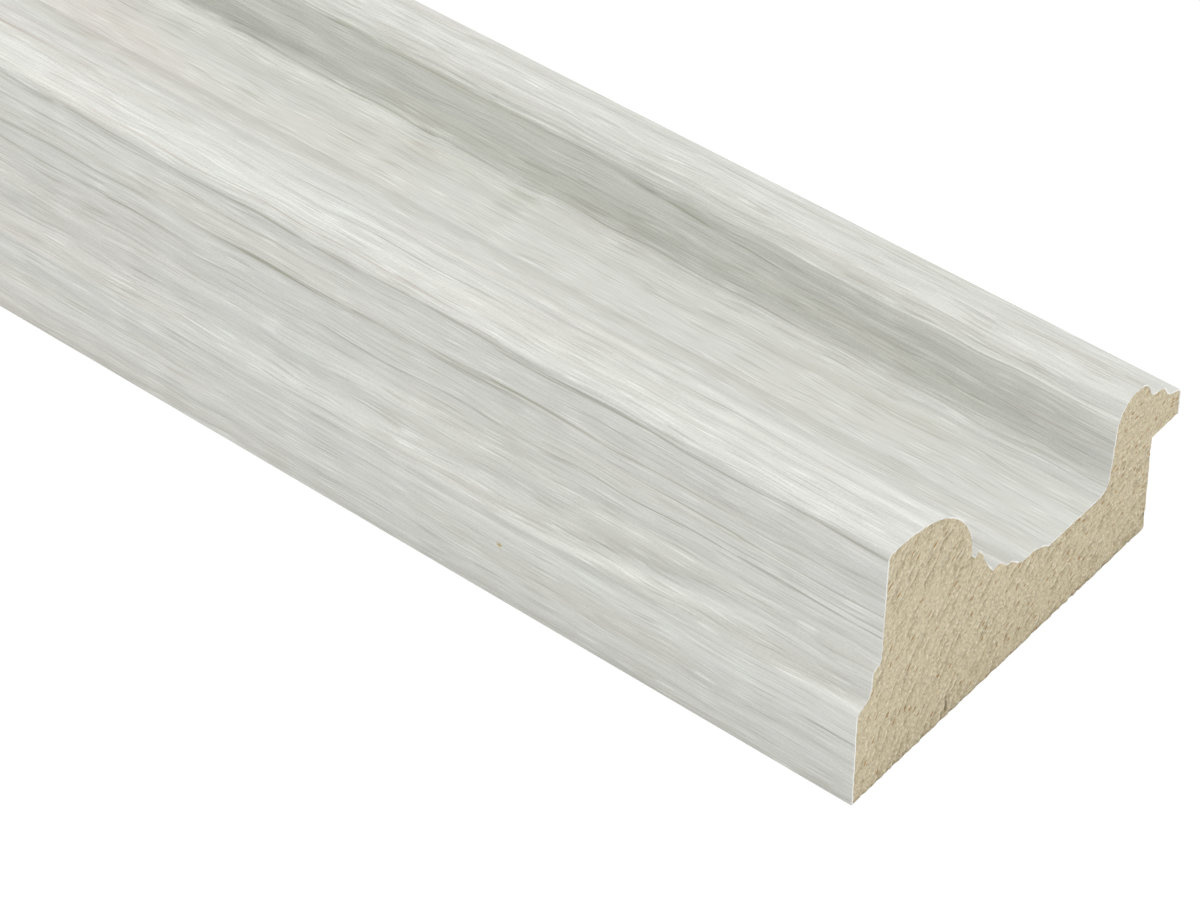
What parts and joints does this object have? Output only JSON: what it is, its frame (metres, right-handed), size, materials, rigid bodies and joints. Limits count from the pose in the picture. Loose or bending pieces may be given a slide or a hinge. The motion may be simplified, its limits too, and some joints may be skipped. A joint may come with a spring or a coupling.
{
  "type": "picture frame moulding",
  "caption": "Length of wide picture frame moulding with a round outer roll, a deep scoop, a raised inner lip and a rabbet, covered in pale wood-grain film and cut square.",
  "frame": {"origin": "middle of the flat back, which is the underside", "axes": "+X from the outer side to the sight edge, +Y along the stick, +Z out of the back towards the show face"},
  "size_m": [0.076, 0.21, 0.0426],
  "materials": {
    "raw_wood": "matte",
    "printed_film": "satin"
  },
  "bodies": {
    "root": {"wood_core": "raw_wood", "film_wrap": "printed_film"}
  },
  "joints": []
}
